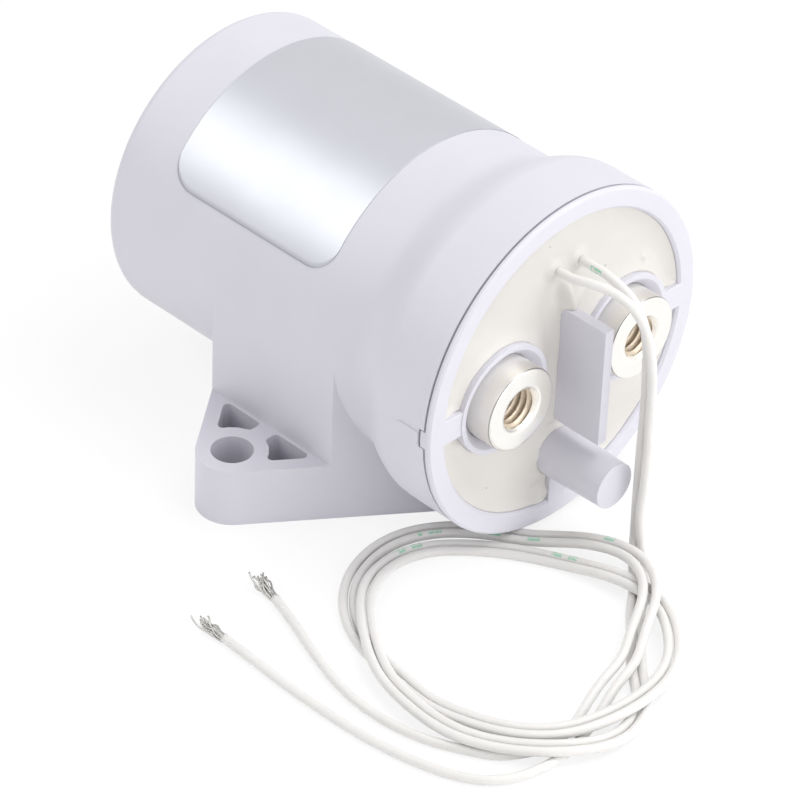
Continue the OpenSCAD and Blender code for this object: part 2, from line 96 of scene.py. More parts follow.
# Slow waves in the resin across, up and aslant: their height, lengths for each radian, and start. Inside a wall
# the resin sinks away at a slope down to a depth, and at the rim it runs a little into the wall.
WAVE_HEIGHT = 0.025 * MM
WAVE_ACROSS = 2.3 * MM
WAVE_ACROSS_START = 1.2
WAVE_UP = 3.1 * MM
WAVE_ASLANT = 1.7 * MM
SUNK_SLOPE = 3
SUNK_DEPTH = 1.2 * MM
RIM_OVERLAP = 0.06 * MM

# The terminals: distances behind their face, radii, rows of points, and the thread's shape as shares of half a
# pitch and of its height. The tapped metal fades in over a short way down the hole.
SHOULDER = 8.25 * MM
STEM_RADIUS = 4.0 * MM
SINK_RADIUS = 3.2 * MM
SINK_LAND = 0.12 * MM
HOLE_START = 0.05 * MM
HOLE_DEPTH = 9.0 * MM
TAPPED_FADE = 0.9 * MM
EDGE_ROWS = 7
FACE_ROWS = 8
HOLE_ROWS = 170
THREAD_CREST = 0.12
THREAD_FLANK = 0.76
GROOVE_FROM = 0.88

# Routes of the two leads in millimetres, as in the part's source: the hanging ends and the tails.
DROP_A = (
    (-1.5, -29.2, 39.5), (-1.5, -31.8, 39.6), (-0.7, -34.1, 39.6), (0.3, -36.2, 39.3), (1, -38.1, 38.7),
    (1.5, -39.5, 37.8), (1.9, -40.8, 36.4), (2.2, -41.7, 34.6), (2.5, -42.4, 31.7), (2.7, -42.8, 28),
    (2.8, -42.9, 23), (2.8, -43, 17), (2.8, -42.9, 11), (2.6, -42.8, 6), (2.3, -43.6, 2.7), (1.4, -45.1, 1.1),
    (-0.7, -47.3, 0.65), (-3.2, -49.7, 0.65),
)
DROP_B = (
    (2.8, -29.2, 39.1), (2.8, -31.8, 39.2), (2.9, -34.1, 39), (3, -36, 38.5), (3.1, -37.8, 37.7),
    (3.3, -39.1, 36.3), (3.4, -40.2, 34.4), (3.4, -40.9, 31.8), (3.3, -41.3, 28.5), (3.3, -41.5, 23),
    (3.2, -41.5, 17), (3.2, -41.5, 11), (3.2, -41.5, 6), (2.8, -41.9, 2.7), (1.4, -43.1, 1.1),
    (-1.2, -45.5, 0.65), (-4.4, -48.4, 0.65),
)
TAIL_Z = 0.65
TAIL_A = (
    (-36.8, -63.4), (-40.4, -62.4), (-43.4, -60.4), (-45.6, -57.2), (-47, -53.4), (-48, -49.2),
    (-48.6, -45), (-48.9, -40.8), (-49, -36.6), (-49, -32.4), (-48.8, -28.2), (-48.6, -24), (-48.4, -19.6),
)
TAIL_B = (
    (-39, -58.4), (-41.2, -55.2), (-43, -51.6), (-44.2, -47.8), (-44.8, -43.8), (-44.8, -39.8),
    (-44.2, -35.8), (-43.1, -31.8), (-41.7, -27.8), (-40.2, -23.8), (-38.4, -18.4),
)

# The loose coil: both leads run round its centre as a pair, clockwise, one key every 20 degrees. The heights are in
# radii of the lead, so 1 lies on the floor and 3 on a turn that does.
COIL_CENTRE = (-22.5, -45.5)
COIL_FIRST = -20
COIL_STEP = 20
COIL_RADII = (
    16.6, 14.9, 15.2, 18.3, 20.9, 21.2, 20.4, 19.7, 18.6, 18.3, 18.4, 19.7, 21.6, 21.8, 19.6, 18.0, 17.5, 17.9,
    19.3, 19.4, 19.3, 18.6, 18.1, 18.0, 17.4, 16.5, 15.9, 16.2, 18.6, 21.8, 24.4, 25.2, 23.4, 21.3, 21.4, 21.3,
    18.4, 15.1, 14.1, 13.6, 15.2, 19.4,
)
COIL_HEIGHTS = (
    1, 1, 1, 1, 1.6, 3, 3, 3, 3, 3, 3, 2.9, 1.8, 1, 1, 1, 1.3, 2.8,
    3, 3, 3, 3.2, 3.2, 3, 3, 2.5, 1.4, 1, 1, 1, 1, 1, 1, 1.1, 3, 4.6,
    5, 3.9, 3, 2.2, 1, 1,
)

# The pair parts towards its end by a share of its spacing that grows as a power of the way round. A tube's sides
# turn from across to upright over the hanging stretch. The spline is first laid with that many times the points,
# and a lead's last points give the direction of its bare end.
PAIR_PARTING = 0.7
PARTING_POWER = 8
HANGING_STRETCH = 60 * MM
SPLINE_FINENESS = 4
END_POINTS = 6

# Stretches of the leads that carry dashes, in millimetres from their exits.
DASHES_INNER = ((2.4, 4.8), (263.6, 267.6), (272.2, 274.6), (277.4, 280.6))
DASHES_OUTER = ((148.6, 152.4), (169.4, 173), (304.4, 306.8))

# The two leads: name, hanging end, tail, side of the pair, CAD nodes that the tube and the bare strands stand
# for, seed of the strands, and stretches with dashes.
LEADS = (
    ("lead_inner", DROP_B, TAIL_B, -1, ("lead_drop_b", "lead_tail_b"), "lead_strands_b", 3, DASHES_INNER),
    (
        "lead_outer", DROP_A, TAIL_A, 1, ("lead_drop_a", "lead_tail_a", "lead_coil"), "lead_strands_a", 8,
        DASHES_OUTER,
    ),
)

# The bare strands: radius of one, share of the lead that they fill, how far they lean out, the stray one's lean,
# how late the lean sets in, shares of the bare length that they reach, height in millimetres and radians of their
# waves, twist, how far back they start, points along and round one, and a direction that none of them runs in.
STRAND_RADIUS = 0.12 * MM
STRAND_FILL = 0.8
STRAND_LEAN = (0.0, 0.12)
STRAY_LEAN = 0.3
LEAN_POWER = 1.6
STRAND_REACH = (0.55, 0.85)
STRAND_WAVE = (0.12, 0.42)
WAVES_FLAT = 7
WAVES_UP = 8
STRAND_TWIST = 1.6
STRAND_START = 0.4 * MM
STRAND_ROWS = 22
STRAND_SIDES = 7
STRAND_ASIDE = (0.3, 0.2, 1.0)
GOLDEN_TURN = math.pi * (3 - math.sqrt(5))

# The springs: CAD node, body, end that stays in its place on that body, and how far it shortens, in millimetres.
SPRINGS = (("return_spring", "housing", 4.55, 2.0), ("contact_spring", "armature", -5.05, 0.5))

# What the inside is made of, by CAD node, and the colour of its steel.
STEEL = (0.56, 0.57, 0.58)
INNER_FINISHES = {
    "bright_steel": (
        "contact_spring", "spring_seat", "bridge_clip", "pull_shaft", "plunger", "return_spring", "fixed_core",
        "plunger_sleeve", "yoke_plate", "yoke_can",
    ),
    "copper_parts": ("contact_bridge", "coil_winding"),
    "silver_plate": ("fixed_tip_left", "fixed_tip_right", "bridge_tips"),
    "magnet_block": ("magnet_upper", "magnet_lower"),
    "chamber_ceramic": ("arc_chamber",),
    "bobbin_plastic": ("bobbin",),
    "lead_insulation": ("inner_leads",),
}

# The stage, in metres: lamps with their place, target, size and the setting of their power, the floor, and the
# camera with its azimuth, elevation and roll in degrees.
LAMPS = (
    ("front_lamp", (0.12, -0.75, 0.17), (0, -0.02, 0.02), 0.8, "front"),
    ("top_lamp", (0.25, -0.2, 0.65), (0, 0, 0.02), 0.5, "top"),
    ("side_lamp", (-0.43, 0.36, 0.54), (0, 0, 0.02), 0.6, "side"),
)
FLOOR_HALF = 3.0
FLOOR_POINTS = 5
FLOOR_DROP = 0.02 * MM
FLOOR_GLOW = 0.8
WHITE = (1.0, 1.0, 1.0, 1.0)
CAMERA_PLACE = (-0.36, -0.34211, 0.38095)
CAMERA_ANGLES = (-46.654, 37.351, 2.399)
SENSOR_WIDTH = 36
CAMERA_FAR = 20


class ShellLooks(bpy.types.PropertyGroup):
    colour: bpy.props.FloatVectorProperty(
        name="Plastic", description="Colour of the moulded plastic", subtype="COLOR", size=3,
        default=(0.665, 0.657, 0.718), min=0, max=1)
    edge: bpy.props.FloatProperty(
        name="Edge radius", description="Radius on the moulded edges", unit="LENGTH", default=0.35 * MM)


class ResinLooks(bpy.types.PropertyGroup):
    colour: bpy.props.FloatVectorProperty(
        name="Resin", description="Colour of the cured potting", subtype="COLOR", size=3,
        default=(0.685, 0.665, 0.635), min=0, max=1)
    climb: bpy.props.FloatProperty(
        name="Climb", description="How far the resin climbs up the walls it wets", unit="LENGTH", default=0.9 * MM)
    reach: bpy.props.FloatProperty(
        name="Reach", description="How far from a wall the resin starts to climb", unit="LENGTH", default=1.2 * MM)
    mound: bpy.props.FloatProperty(
        name="Mounds", description="Height of the resin drawn up around the leads", unit="LENGTH", default=0.7 * MM)


class TerminalLooks(bpy.types.PropertyGroup):
    plating: bpy.props.FloatVectorProperty(
        name="Plating", description="Colour of the plated terminals", subtype="COLOR", size=3,
        default=(0.97, 0.955, 0.92), min=0, max=1)
    side: bpy.props.FloatVectorProperty(
        name="Side", description="Colour of the duller plating round the terminals", subtype="COLOR", size=3,
        default=(0.79, 0.765, 0.725), min=0, max=1)
    film: bpy.props.FloatVectorProperty(
        name="Film", description="Colour of the resin that has crept up the terminals", subtype="COLOR", size=3,
        default=(0.76, 0.745, 0.725), min=0, max=1)
    film_from: bpy.props.FloatProperty(
        name="Film starts", description="Distance behind the face where the film starts", unit="LENGTH",
        default=1.4 * MM)
    film_full: bpy.props.FloatProperty(
        name="Film full", description="Distance behind the face where the film is full", unit="LENGTH",
        default=3.0 * MM)
    tapped: bpy.props.FloatVectorProperty(
        name="Tapped metal", description="Colour of the metal that the tap has cut", subtype="COLOR", size=3,
        default=(0.74, 0.645, 0.52), min=0, max=1)
    crest: bpy.props.FloatProperty(
        name="Thread crest", description="Radius at the crest of the thread", unit="LENGTH", default=2.5 * MM)
    depth: bpy.props.FloatProperty(
        name="Thread height", description="Height of the thread", unit="LENGTH", default=0.5 * MM)
    pitch: bpy.props.FloatProperty(
        name="Thread pitch", description="Pitch of the threaded holes", unit="LENGTH", default=1.0 * MM)
    edge: bpy.props.FloatProperty(
        name="Edge", description="Radius on the edge of the face", unit="LENGTH", default=0.3 * MM)


class LeadLooks(bpy.types.PropertyGroup):
    colour: bpy.props.FloatVectorProperty(
        name="Insulation", description="Colour of the insulation", subtype="COLOR", size=3,
        default=(0.75, 0.738, 0.725), min=0, max=1)
    mark: bpy.props.FloatVectorProperty(
        name="Print", description="Colour of the printed dashes", subtype="COLOR", size=3,
        default=(0.28, 0.6, 0.42), min=0, max=1)
    diameter: bpy.props.FloatProperty(
        name="Diameter", description="Outside diameter of a lead", unit="LENGTH", default=1.25 * MM)
    spacing: bpy.props.FloatProperty(
        name="Spacing", description="Distance between the two leads of the pair", unit="LENGTH", default=1.32 * MM)
    bare: bpy.props.FloatProperty(
        name="Bare end", description="Length of the bare strands", unit="LENGTH", default=6.5 * MM)
    strands: bpy.props.IntProperty(
        name="Strands", description="Number of strands in a lead", default=19, min=3)


class LabelLooks(bpy.types.PropertyGroup):
    colour: bpy.props.FloatVectorProperty(
        name="Foil", description="Colour of the foil label", subtype="COLOR", size=3,
        default=(0.545, 0.556, 0.595), min=0, max=1)
    angle: bpy.props.FloatProperty(
        name="Angle", description="Angle that the label covers", subtype="ANGLE", default=math.radians(125))
    corner: bpy.props.FloatProperty(
        name="Corner", description="Radius of the label's corners", unit="LENGTH", default=4 * MM)
    thickness: bpy.props.FloatProperty(
        name="Thickness", description="Thickness of the foil", unit="LENGTH", default=0.05 * MM)


class StageLooks(bpy.types.PropertyGroup):
    floor: bpy.props.FloatVectorProperty(
        name="Floor", description="Colour of the floor", subtype="COLOR", size=3,
        default=(1.0, 1.0, 1.0), min=0, max=1)
    ambient: bpy.props.FloatProperty(
        name="Room light", description="Strength of the even light from all round", default=0.49, min=0)
    front: bpy.props.FloatProperty(
        name="Front light", description="Power of the lamp before the terminals", unit="POWER", default=3.9, min=0)
    top: bpy.props.FloatProperty(
        name="Top light", description="Power of the lamp overhead", unit="POWER", default=2.9, min=0)
    side: bpy.props.FloatProperty(
        name="Side light", description="Power of the lamp behind the can", unit="POWER", default=1.7, min=0)
    lens: bpy.props.FloatProperty(
        name="Lens", description="Focal length of the camera", unit="CAMERA", default=211.98)


class ContactorLooks(bpy.types.PropertyGroup):
    shell: bpy.props.PointerProperty(type=ShellLooks, name="Shell", description="Moulded housing and cover")
    resin: bpy.props.PointerProperty(type=ResinLooks, name="Resin", description="Potting in the cover")
    terminals: bpy.props.PointerProperty(type=TerminalLooks, name="Terminals", description="Plated terminals")
    leads: bpy.props.PointerProperty(type=LeadLooks, name="Leads", description="Coil leads")
    label: bpy.props.PointerProperty(type=LabelLooks, name="Label", description="Foil label")
    stage: bpy.props.PointerProperty(type=StageLooks, name="Stage", description="Floor, light and camera")


class Value:
    """A shader socket that can be written in sums: each operator adds one Math node."""

    def __init__(self, nodes, socket):
        self.nodes = nodes
        self.socket = socket

    def _math(self, operation, first, second=0.0):
        return self.nodes.node("ShaderNodeMath", {"operation": operation}, {0: first, 1: second})

    def __add__(self, other):
        return self._math("ADD", self, other)

    def __sub__(self, other):
        return self._math("SUBTRACT", self, other)

    def __rsub__(self, other):
        return self._math("SUBTRACT", other, self)

    def __mul__(self, other):
        return self._math("MULTIPLY", self, other)

    def __mod__(self, other):
        return self._math("FLOORED_MODULO", self, other)

    def __gt__(self, other):
        return self._math("GREATER_THAN", self, other)

    def __lt__(self, other):
        return self._math("LESS_THAN", self, other)

    __radd__ = __add__
    __rmul__ = __mul__


class Nodes:
    """A node tree while it is being laid out."""

    def __init__(self, tree):
        self.tree = tree

    def node(self, kind, settings=None, inputs=None, output=0):
        """Adds a node: its settings first, then its sockets' values or links; gives one output as a Value."""
        made = self.tree.nodes.new(kind)
        for name, value in (settings or {}).items():
            setattr(made, name, value)
        for socket, value in (inputs or {}).items():
            self.plug(made.inputs[socket], value)
        return Value(self, made.outputs[output])

    def plug(self, socket, value):
        """Links a Value to a socket, or sets the socket to a number, vector or colour."""
        if isinstance(value, Value):
            self.tree.links.new(value.socket, socket)
        else:
            socket.default_value = value

    def seen_ray(self):
        """1 for rays that show the surface itself: straight, mirrored or through glass."""
        straight = self.node("ShaderNodeLightPath", output="Is Camera Ray")
        mirrored = self.node("ShaderNodeLightPath", output="Is Glossy Ray")
        through = self.node("ShaderNodeLightPath", output="Is Transmission Ray")
        return (straight + mirrored + through) > 0.5


class Finish(Nodes):
    """A material while its nodes are being laid out; plain values of the shader go straight onto its sockets."""

    def __init__(self, name, **constants):
        self.material = bpy.data.materials.new(name)
        self.material.use_nodes = True
        super().__init__(self.material.node_tree)
        self.shader = self.tree.nodes["Principled BSDF"]
        for socket, value in constants.items():
            self.shader.inputs[socket.replace("_", " ")].default_value = value

    def feed(self, **inputs):
        """Feeds what varies over the surface into the shader."""
        for socket, value in inputs.items():
            self.plug(self.shader.inputs[socket.replace("_", " ")], value)
        return self.material

    def place(self):
        """Object coordinates, in metres."""
        return self.node("ShaderNodeTexCoord", output="Object")

    def attribute(self, name):
        """A number that the mesh carries at each point."""
        return self.node("ShaderNodeAttribute", {"attribute_name": name}, output="Fac")

    def noise(self, size, detail=2.0, stretch=(1.0, 1.0, 1.0)):
        """Noise from 0 to 1 whose patches are about as large as size, in metres."""
        scaled = self.node("ShaderNodeMapping", inputs={"Vector": self.place(), "Scale": stretch})
        return self.node("ShaderNodeTexNoise", inputs={"Vector": scaled, "Scale": 1.0 / size, "Detail": detail})

    def mix(self, factor, first, second):
        """Colour between two colours."""
        return self.node(
            "ShaderNodeMix", {"data_type": "RGBA"}, {"Factor": factor, 6: first, 7: second}, output=2)

    def vary(self, factor, rgb, low, high):
        """A colour that goes from low to high times itself as a factor goes from 0 to 1."""
        return self.mix(factor, shade(rgb, low), shade(rgb, high))

    def bump(self, height, distance):
        """Normal of a surface that rises by distance, in metres, where height is 1."""
        return self.node("ShaderNodeBump", inputs={"Height": height, "Distance": distance, "Strength": 1.0})


def colour(rgb):
    """A colour with its alpha, as a socket takes it."""
    return (*rgb, 1.0)


def shade(rgb, factor):
    """The same colour, lighter or darker."""
    return colour([min(1.0, c * factor) for c in rgb])


def lay_grid(name, points, around=False, ends=False):
    """Object from a grid of points: quads between rows and columns. Around closes the columns, and ends closes the
    outer rows."""
    rows, columns = points.shape[:2]
    index = np.arange(rows * columns).reshape(rows, columns)
    if around:
        index = np.concatenate([index, index[:, :1]], axis=1)
    quads = np.stack([index[:-1, :-1], index[:-1, 1:], index[1:, 1:], index[1:, :-1]], axis=-1)
    faces = quads.reshape(-1, 4).tolist()
    if ends:
        faces += [index[0, :columns][::-1].tolist(), index[-1, :columns].tolist()]
    mesh = bpy.data.meshes.new(name)
    mesh.from_pydata(points.reshape(-1, 3).tolist(), [], faces)
    return stand(name, mesh)


def stand(name, mesh):
    """A smooth shaded object of a mesh, linked to the scene."""
    mesh.update()
    mesh.shade_smooth()
    piece = bpy.data.objects.new(name, mesh)
    bpy.context.scene.collection.objects.link(piece)
    return piece


def close_shell(piece, sharp):
    """Joins the points of a shell that fall together, at its poles and seams, turns its faces outwards and
    keeps the edges above an angle sharp."""
    shape = bmesh.new()
    shape.from_mesh(piece.data)
    bmesh.ops.remove_doubles(shape, verts=shape.verts, dist=SEAM_JOIN)
    bmesh.ops.recalc_face_normals(shape, faces=shape.faces)
    shape.to_mesh(piece.data)
    shape.free()
    piece.data.set_sharp_from_angle(angle=sharp)
    return piece


def dress(piece, material, body="housing"):
    """Gives a piece its material and the body that it rides on."""
    piece.data.materials.clear()
    piece.data.materials.append(material)
    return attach(piece, body)


def merged_copy(node, name, sharp):
    """A copy of a CAD node, its loose triangles joined and its flat faces whole, sharp above an angle."""
    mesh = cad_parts[node].data.copy()
    shape = bmesh.new()
    shape.from_mesh(mesh)
    bmesh.ops.remove_doubles(shape, verts=shape.verts, dist=COPY_JOIN)
    bmesh.ops.dissolve_limit(
        shape, angle_limit=FLAT_ANGLE, verts=shape.verts, edges=shape.edges, delimit={"NORMAL"})
    shape.to_mesh(mesh)
    shape.free()
    piece = stand(name, mesh)
    mesh.set_sharp_from_angle(angle=sharp)
    return piece


def soften(piece, radius, angle):
    """Rounds the edges of a piece that are sharper than an angle; its larger faces keep their own normals."""
    bevel = piece.modifiers.new("Moulded edges", "BEVEL")
    bevel.width = radius
    bevel.segments = 3
    bevel.limit_method = "ANGLE"
    bevel.angle_limit = angle
    bevel.use_clamp_overlap = True
    bevel.miter_outer = "MITER_ARC"
    even = piece.modifiers.new("Even faces", "WEIGHTED_NORMAL")
    even.weight = 80
    even.keep_sharp = True


def smooth_line(points, count):
    """Points evenly spaced on the natural cubic spline through points, its parameter the root of the chord."""
    points = np.asarray(points, float)
    step = np.sqrt(np.linalg.norm(np.diff(points, axis=0), axis=1))
    knots = np.concatenate([[0.0], np.cumsum(step)])
    size = len(points)
    system = np.eye(size)
    inner = np.arange(1, size - 1)
    system[inner, inner - 1] = step[:-1]
    system[inner, inner] = 2 * (step[:-1] + step[1:])
    system[inner, inner + 1] = step[1:]
    slope = np.diff(points, axis=0) / step[:, None]
    right = np.zeros_like(points)
    right[1:-1] = 6 * np.diff(slope, axis=0)
    bend = np.linalg.solve(system, right)
    at = np.linspace(0, knots[-1], SPLINE_FINENESS * count)
    k = np.clip(np.searchsorted(knots, at) - 1, 0, size - 2)
    h = step[k][:, None]
    low = (knots[k + 1] - at)[:, None]
    high = (at - knots[k])[:, None]
    fine = (bend[k] * low ** 3 + bend[k + 1] * high ** 3) / (6 * h)
    fine += (points[k] / h - bend[k] * h / 6) * low + (points[k + 1] / h - bend[k + 1] * h / 6) * high
    run = np.concatenate([[0.0], np.cumsum(np.linalg.norm(np.diff(fine, axis=0), axis=1))])
    even = np.linspace(0, run[-1], count)
    return np.stack([np.interp(even, run, fine[:, axis]) for axis in range(3)], axis=1)


def line_length(line):
    """Length along a line of points."""
    return float(np.linalg.norm(np.diff(line, axis=0), axis=1).sum())


def carry_round(line, radius, sides, aside):
    """Rings of a round section carried along a line: centre + radius (cos a side + sin a top), where side is aside
    made square to the line and top is square to both."""
    along = np.gradient(line, axis=0)
    along /= np.linalg.norm(along, axis=1, keepdims=True)
    side = aside - (aside * along).sum(axis=1, keepdims=True) * along
    side /= np.linalg.norm(side, axis=1, keepdims=True)
    top = np.cross(along, side)
    turn = np.linspace(0, 2 * np.pi, sides, endpoint=False)[None, :, None]
    wide = np.broadcast_to(np.asarray(radius, float), len(line))[:, None, None]
    return line[:, None] + wide * (np.cos(turn) * side[:, None] + np.sin(turn) * top[:, None])


def lead_line(drop, tail, side, spacing, radius, count=900):
    """Centre line of one lead: its hanging end, the pair's turns moved half a spacing to one side, square to the
    turn and further apart towards the end, and its tail."""
    key = np.arange(len(COIL_RADII))
    angle = np.radians(COIL_FIRST - COIL_STEP * key)
    reach = np.array(COIL_RADII) * MM
    turns = np.stack([
        COIL_CENTRE[0] * MM + reach * np.cos(angle),
        COIL_CENTRE[1] * MM + reach * np.sin(angle),
        np.array(COIL_HEIGHTS) * radius,
    ], axis=1)
    along = np.gradient(turns[:, :2], axis=0)
    out = np.stack([-along[:, 1], along[:, 0], np.zeros(len(key))], axis=1)
    out /= np.linalg.norm(out, axis=1, keepdims=True)
    apart = 1 + PAIR_PARTING * (key[:, None] / key[-1]) ** PARTING_POWER
    turns += side * spacing / 2 * apart * out
    tail = np.array([(x, y, TAIL_Z) for x, y in tail]) * MM
    line = smooth_line(np.concatenate([np.array(drop) * MM, turns, tail]), count)
    line[:, 2] = np.maximum(line[:, 2], radius)
    return line


def lead_tube(name, line, radius, dashes, sides=16):
    """Tube along a lead: round rings whose side turns from across the drop to upright on the floor."""
    run = np.linspace(0, line_length(line), len(line))
    share = np.clip(run / HANGING_STRETCH, 0, 1)[:, None]
    aside = (1 - share) * np.array([-1.0, 0, 0]) + share * np.array([0, 0, 1.0])
    tube = lay_grid(name, carry_round(line, radius, sides, aside), around=True, ends=True)
    lobes = np.cos(np.linspace(0, 2 * np.pi, sides, endpoint=False))
    first, last = np.array(dashes).T * MM
    inked = ((run[:, None] > first) & (run[:, None] < last)).any(axis=1)
    add_numbers(tube, "along", np.repeat(run, sides))
    add_numbers(tube, "upper", np.tile(lobes, len(line)))
    add_numbers(tube, "inked", np.repeat(inked, sides))
    return tube


def add_numbers(piece, name, numbers):
    """Stores one number a point on a mesh."""
    layer = piece.data.attributes.new(name, "FLOAT", "POINT")
    layer.data.foreach_set("value", np.asarray(numbers, np.float32))


def from_round(x, z, centre, radius):
    """Distance from points to a circle, negative inside it."""
    return np.hypot(x - centre[0], z - centre[1]) - radius


def from_box(x, z, centre, half):
    """Distance from points to an upright rectangle, negative inside it."""
    over_x = np.abs(x - centre[0]) - half[0]
    over_z = np.abs(z - centre[1]) - half[1]
    outside = np.hypot(np.maximum(over_x, 0), np.maximum(over_z, 0))
    return outside + np.minimum(np.maximum(over_x, over_z), 0)


def wall_distance(x, z):
    """Distance from points on the face to the nearest wall that stands up through the resin, negative inside it."""
    web_middle = (TERMINAL_X + RIM_INSIDE) / 2
    web_half = ((RIM_INSIDE - TERMINAL_X) / 2, WEB_HALF)
    foot_middle = (-POST_DROP - RIM_INSIDE) / 2
    foot_half = (POST_WEB_HALF, (RIM_INSIDE - POST_DROP) / 2)
    return np.minimum.reduce([
        RIM_INSIDE - np.hypot(x, z),
        from_round(x, z, (-TERMINAL_X, 0), COLLAR_RADIUS),
        from_round(x, z, (TERMINAL_X, 0), COLLAR_RADIUS),
        from_box(x, z, (-web_middle, 0), web_half),
        from_box(x, z, (web_middle, 0), web_half),
        from_box(x, z, (0, 0), BARRIER_HALF),
        from_round(x, z, (0, -POST_DROP), POST_RADIUS),
        from_box(x, z, (0, foot_middle), foot_half),
    ])


def resin_rise(x, z, sizes):
    """Height of the resin above its level: climb exp(-distance / reach) at the walls, the mounds, slow waves, and a
    drop inside the walls, where nothing shows. A mound is tall exp(-((x / wide)^2 + (z / long)^2)^power)."""
    away = wall_distance(x, z)
    rise = sizes.climb * np.exp(-np.maximum(away, 0) / sizes.reach)
    for across, up, wide, long, tall in RESIN_MOUNDS:
        far = ((x - across * MM) / (wide * MM)) ** 2 + ((z - up * MM) / (long * MM)) ** 2
        rise += sizes.mound * tall * np.exp(-far ** MOUND_POWER)
    rise += WAVE_HEIGHT * (
        np.sin(x / WAVE_ACROSS + WAVE_ACROSS_START) + np.sin(z / WAVE_UP) + np.sin((x + z) / WAVE_ASLANT))
    return np.where(away < 0, rise + np.maximum(SUNK_SLOPE * away, -SUNK_DEPTH), rise)


def resin_surface(sizes, rows=150, columns=360):
    """Poured resin, a closed disc: front points (r cos t, level - rise, r sin t) about the axis, then the back."""
    r = np.linspace(0, RIM_INSIDE + RIM_OVERLAP, rows)[:, None]
    t = np.linspace(0, 2 * np.pi, columns, endpoint=False)[None, :]
    x, z = r * np.cos(t), r * np.sin(t)
    front = np.stack([x, RESIN_FACE - resin_rise(x, z, sizes), z + CAN_AXIS], axis=-1)
    wall = np.stack([x[-1], np.full(columns, RESIN_BACK), z[-1] + CAN_AXIS], axis=-1)
    middle = np.broadcast_to([0.0, RESIN_BACK, CAN_AXIS], (columns, 3))
    piece = lay_grid("resin_fill", np.concatenate([front, wall[None], middle[None]]), around=True)
    return close_shell(piece, RESIN_SHARP)


def terminal_surface(name, low, high, sizes, columns=96):
    """Turned terminal: a half section (radius, distance behind the face) carried round its axis, from the pole at
    the back over the stem, shoulder, rounded edge and face into the hole. In the hole the radius is the larger of
    the countersink's cone and of crest + height * trapezoid(distance / pitch - turn)."""
    centre = (low + high) / 2
    radius, edge = (high[0] - low[0]) / 2, sizes.edge
    turn = np.linspace(0, 2 * np.pi, columns, endpoint=False)[None, :]
    bend = np.linspace(0, np.pi / 2, EDGE_ROWS)
    length = high[1] - low[1]
    back = [(0, length), (STEM_RADIUS, length), (STEM_RADIUS, SHOULDER), (radius, SHOULDER)]
    face = np.linspace(radius - edge, SINK_RADIUS + SINK_LAND, FACE_ROWS + 1)[1:]
    outside = np.concatenate([
        back,
        np.stack([radius - edge + edge * np.cos(bend), edge - edge * np.sin(bend)], axis=1),
        np.stack([face, np.zeros(FACE_ROWS)], axis=1),
    ])
    down = np.linspace(HOLE_START, HOLE_DEPTH, HOLE_ROWS)[:, None]
    phase = (down / sizes.pitch - turn / (2 * np.pi)) % 1.0
    tooth = np.clip((np.abs(2 * phase - 1) - THREAD_CREST) / THREAD_FLANK, 0, 1)
    hole = np.maximum(sizes.crest + sizes.depth * tooth, SINK_RADIUS - down)
    r = np.concatenate([np.repeat(outside[:, :1], columns, axis=1), hole, np.zeros((1, columns))])
    s = np.concatenate([outside[:, 1:], down, [[HOLE_DEPTH + sizes.crest / 2]]])
    points = np.stack([
        centre[0] + r * np.cos(turn), low[1] + np.broadcast_to(s, r.shape), centre[2] + r * np.sin(turn)], axis=-1)
    piece = lay_grid(name, points, around=True)
    cut = np.concatenate([np.zeros(len(outside)), np.clip(down[:, 0] / TAPPED_FADE, 0, 1), [1.0]])
    side = np.concatenate([np.ones(len(back)), 1 - np.sin(bend), np.zeros(len(r) - len(back) - len(bend))])
    add_numbers(piece, "tapped", np.repeat(cut, columns))
    add_numbers(piece, "side", np.repeat(side, columns))
    # Mask of the thread's roots, which the plating's finish darkens as painted shade.
    root = np.zeros(r.shape)
    root[len(outside):-1] = np.clip((tooth - GROOVE_FROM) / (1 - GROOVE_FROM), 0, 1)
    add_numbers(piece, "groove", root.reshape(-1))
    add_numbers(piece, "run", (r - s).reshape(-1))
    add_numbers(piece, "behind", np.broadcast_to(s, r.shape).reshape(-1))
    return close_shell(piece, TERMINAL_SHARP)


def label_surface(sizes, columns=64, corner_rows=14, straight_rows=30):
    """Foil on the can: points (R sin a, y, R cos a) about the axis, a = u half(y) / R, where the half width runs in
    on a quarter circle at the corners."""
    low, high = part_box("label")
    radius = CAN_RADIUS + LABEL_LIFT
    length = high[1] - low[1]
    corner = sizes.corner
    turn_in = corner * (1 - np.cos(np.linspace(0, np.pi / 2, corner_rows)))
    straight = np.linspace(corner, length - corner, straight_rows)[1:-1]
    v = np.concatenate([turn_in, straight, length - turn_in[::-1]])
    short = np.maximum(corner - np.minimum(v, length - v), 0)
    half = radius * sizes.angle / 2 - corner + np.sqrt(corner ** 2 - short ** 2)
    a = np.linspace(-1, 1, columns)[None, :] * half[:, None] / radius
    y = np.broadcast_to(low[1] + v[:, None], a.shape)
    piece = lay_grid("label_sheet", np.stack([radius * np.sin(a), y, CAN_AXIS + radius * np.cos(a)], axis=-1))
    wall = piece.modifiers.new("Foil", "SOLIDIFY")
    wall.thickness = sizes.thickness
    wall.offset = 1.0
    return piece


